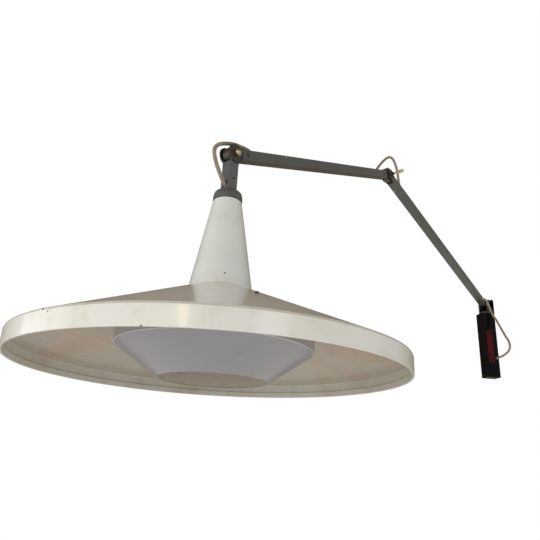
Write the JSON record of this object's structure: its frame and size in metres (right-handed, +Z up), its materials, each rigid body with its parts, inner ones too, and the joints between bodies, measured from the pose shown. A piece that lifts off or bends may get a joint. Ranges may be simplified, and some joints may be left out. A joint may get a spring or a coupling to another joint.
{
  "type": "articulated wall lamp",
  "caption": "Wall-mounted architect lamp: black housing with swivelling turret, two hinged square-tube arms and a wide shallow cone shade on a swivelling neck with an inner diffuser.",
  "frame": {"origin": "on the wall plane, at the middle of the housing's width and of the housing and turret's overall height", "axes": "+Z up, the wall is the plane y = 0 and the lamp reaches out towards -Y"},
  "size_m": [0.9369, 1.0299, 0.5673],
  "materials": {
    "housing_black": "gloss",
    "label_red": "satin",
    "turret_black": "gloss",
    "arm_enamel": "semi-gloss",
    "yoke_grey": "semi-gloss",
    "zinc_steel": "satin",
    "dark_steel": "satin",
    "brass": "worn",
    "nickel": "polished",
    "friction_fibre": "matt",
    "terminal_white": "gloss",
    "grommet_rubber": "matt",
    "cable_cover": "matt",
    "holder_black": "gloss",
    "bulb_opal": "opal",
    "shade_enamel": "gloss enamel",
    "diffuser_enamel": "semi-gloss enamel"
  },
  "bodies": {
    "wall_bracket": {"wall_housing": "housing_black", "housing_cover": "housing_black", "cover_screw": "zinc_steel", "bearing_tube": "zinc_steel", "upper_bush": "brass", "lower_bush": "brass", "terminal_block": "terminal_white", "terminal_screws": "brass", "cable_grommet": "grommet_rubber", "blanking_plug": "housing_black", "label_plate": "label_red", "wall_cable_loop": "cable_cover"},
    "turret": {"turret_fork": "turret_black", "thrust_washer": "zinc_steel", "spindle_collar": "zinc_steel", "shoulder_bolt": "zinc_steel", "shoulder_nut": "zinc_steel", "shoulder_friction_discs": "friction_fibre", "shoulder_cable_loop": "cable_cover"},
    "upper_arm": {"upper_arm_tube": "arm_enamel", "shoulder_block": "zinc_steel", "shoulder_block_screw": "zinc_steel", "elbow_washers": "dark_steel", "elbow_bolt": "zinc_steel", "upper_arm_flex": "cable_cover", "elbow_cable_loop": "cable_cover"},
    "elbow_knob": {"elbow_clamp_knob": "brass"},
    "fore_arm": {"fore_arm_tube": "arm_enamel", "elbow_barrel": "dark_steel", "head_barrel": "dark_steel", "fore_arm_screws": "zinc_steel", "elbow_friction_discs": "friction_fibre", "head_friction_discs": "friction_fibre", "fore_arm_flex": "cable_cover"},
    "head": {"yoke_tube": "yoke_grey", "swivel_stem": "zinc_steel", "yoke_screw": "zinc_steel", "head_washers": "dark_steel", "head_bolt": "zinc_steel", "head_dome_nut": "nickel", "head_cap": "yoke_grey", "swivel_washers": "zinc_steel", "swivel_nut": "zinc_steel", "lamp_holder": "holder_black", "bulb_cap": "nickel", "bulb_glass": "bulb_opal", "yoke_flex": "cable_cover", "head_cable_loop": "cable_cover"},
    "shade": {"shade_dish": "shade_enamel", "shade_neck": "shade_enamel", "neck_clamp_ring": "zinc_steel", "neck_clamp_screws": "dark_steel", "diffuser": "diffuser_enamel", "diffuser_ring": "diffuser_enamel", "diffuser_brackets": "diffuser_enamel", "diffuser_screws": "dark_steel", "diffuser_nuts": "zinc_steel", "bracket_rivets": "shade_enamel"}
  },
  "joints": [
    {"name": "arm_swivel", "type": "hinge", "parent": "wall_bracket", "child": "turret", "pos_m": [0, -0.0192, 0.094], "axis": [0, 0, 1], "range_deg": [-116.5, 33.5], "deforming": ["wall_cable_loop"]},
    {"name": "shoulder_tilt", "type": "hinge", "parent": "turret", "child": "upper_arm", "pos_m": [0, -0.0192, 0.094], "axis": [0.749, 0.6626, 0], "range_deg": [-65, 45], "deforming": ["shoulder_cable_loop"]},
    {"name": "elbow_fold", "type": "hinge", "parent": "upper_arm", "child": "fore_arm", "pos_m": [0.37506, -0.44313, 0.24567], "axis": [0.749, 0.6626, 0], "range_deg": [-37, 82], "deforming": ["elbow_cable_loop"]},
    {"name": "elbow_knob_turn", "type": "hinge", "parent": "upper_arm", "child": "elbow_knob", "pos_m": [0.37506, -0.44313, 0.24567], "axis": [0.749, 0.6626, 0], "range_deg": [0, 180]},
    {"name": "head_tilt", "type": "hinge", "parent": "fore_arm", "child": "head", "pos_m": [0.68628, -0.79489, 0.05208], "axis": [0.749, 0.6626, 0], "range_deg": [-45, 45], "deforming": ["head_cable_loop"]},
    {"name": "shade_swivel", "type": "hinge", "parent": "head", "child": "shade", "pos_m": [0.68628, -0.79489, -0.25412], "axis": [0, 0, 1], "range_deg": [-170, 170]}
  ]
}
